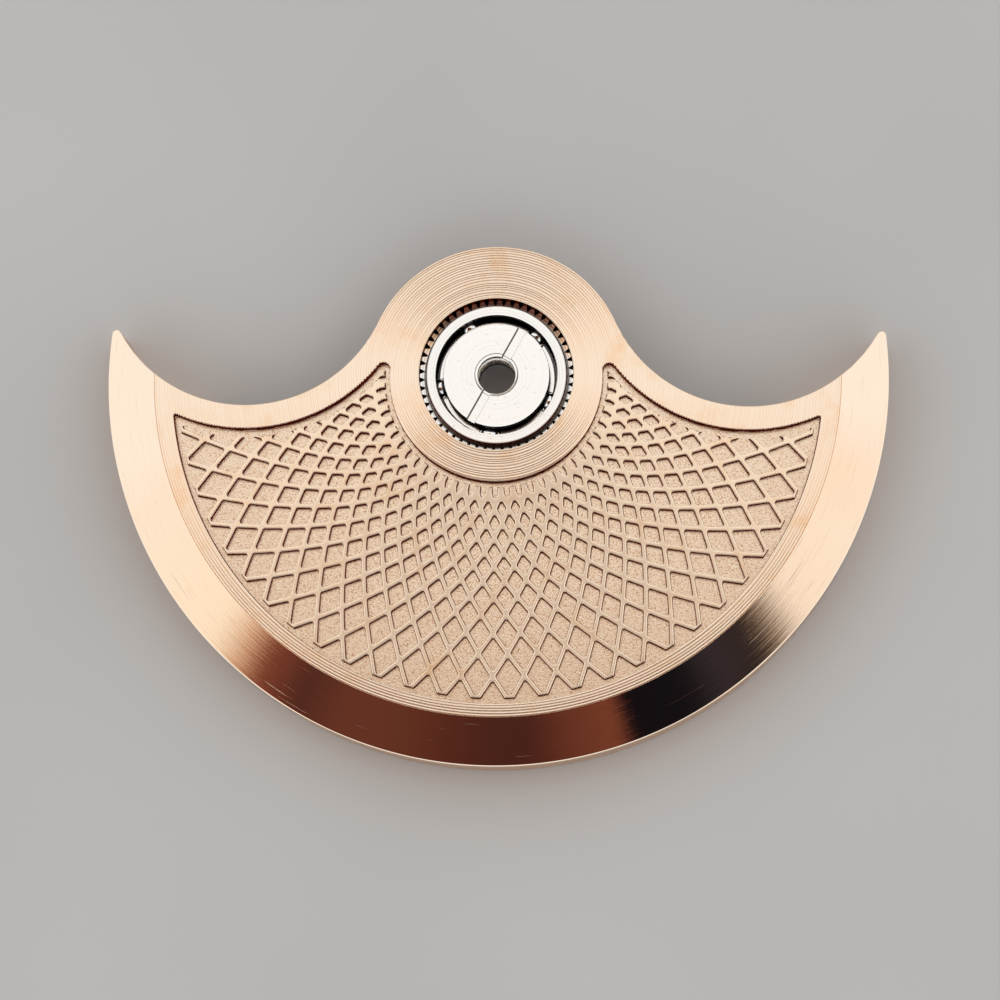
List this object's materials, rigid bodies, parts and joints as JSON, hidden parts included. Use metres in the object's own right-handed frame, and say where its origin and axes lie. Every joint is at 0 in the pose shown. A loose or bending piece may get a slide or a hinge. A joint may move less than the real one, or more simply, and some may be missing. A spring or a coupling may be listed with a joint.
{
  "type": "automatic watch rotor",
  "caption": "Winding rotor of an automatic watch: half-ring weight, openwork lattice plate, ball bearing with slotted core, and drive gear.",
  "frame": {"origin": "on the bearing's axis, at the face where the bearing's core seats on the movement", "axes": "+Z out of the movement, towards the decorated face; +Y from the weight to the bearing; +X across the weight, from horn to horn"},
  "size_m": [0.025, 0.0167, 0.002],
  "materials": {
    "plate_gold": "rose gold plated, turned land and sandblasted recess",
    "rim_gold": "rose gold plated, polished bevel",
    "ring_steel": "turned bearing steel",
    "core_steel": "polished bearing steel",
    "cage_metal": "plain turned metal",
    "ball_steel": "mirror polished balls"
  },
  "bodies": {
    "core": {"bearing_core": "core_steel", "lower_cone": "core_steel"},
    "weight": {"rotor_plate": "plate_gold", "rim_weight": "rim_gold", "bearing_outer_ring": "ring_steel"},
    "cage": {"ball_cage": "cage_metal"},
    "ball_1_body": {"ball_1": "ball_steel"},
    "ball_2_body": {"ball_2": "ball_steel"},
    "ball_3_body": {"ball_3": "ball_steel"},
    "ball_4_body": {"ball_4": "ball_steel"},
    "ball_5_body": {"ball_5": "ball_steel"}
  },
  "joints": [
    {"name": "rotor_spin", "type": "hinge", "parent": "core", "child": "weight", "pos_m": [0, 0, 0], "axis": [0, 0, 1], "continuous": true},
    {"name": "cage_spin", "type": "hinge", "parent": "core", "child": "cage", "pos_m": [0, 0, 0], "axis": [0, 0, 1], "continuous": true},
    {"name": "ball_1_spin", "type": "hinge", "parent": "cage", "child": "ball_1_body", "pos_m": [0.00127, 0.00136, 0.00073], "axis": [0, 0, 1], "continuous": true},
    {"name": "ball_2_spin", "type": "hinge", "parent": "cage", "child": "ball_2_body", "pos_m": [-0.0009, 0.00163, 0.00073], "axis": [0, 0, 1], "continuous": true},
    {"name": "ball_3_spin", "type": "hinge", "parent": "cage", "child": "ball_3_body", "pos_m": [-0.00183, -0.00035, 0.00073], "axis": [0, 0, 1], "continuous": true},
    {"name": "ball_4_spin", "type": "hinge", "parent": "cage", "child": "ball_4_body", "pos_m": [-0.00023, -0.00185, 0.00073], "axis": [0, 0, 1], "continuous": true},
    {"name": "ball_5_spin", "type": "hinge", "parent": "cage", "child": "ball_5_body", "pos_m": [0.00169, -0.00079, 0.00073], "axis": [0, 0, 1], "continuous": true}
  ],
  "couplings": [
    {"joint": "cage_spin", "follows": "rotor_spin", "ratio": 0.5608},
    {"joint": "ball_1_spin", "follows": "rotor_spin", "ratio": 4.049},
    {"joint": "ball_2_spin", "follows": "rotor_spin", "ratio": 4.049},
    {"joint": "ball_3_spin", "follows": "rotor_spin", "ratio": 4.049},
    {"joint": "ball_4_spin", "follows": "rotor_spin", "ratio": 4.049},
    {"joint": "ball_5_spin", "follows": "rotor_spin", "ratio": 4.049}
  ]
}
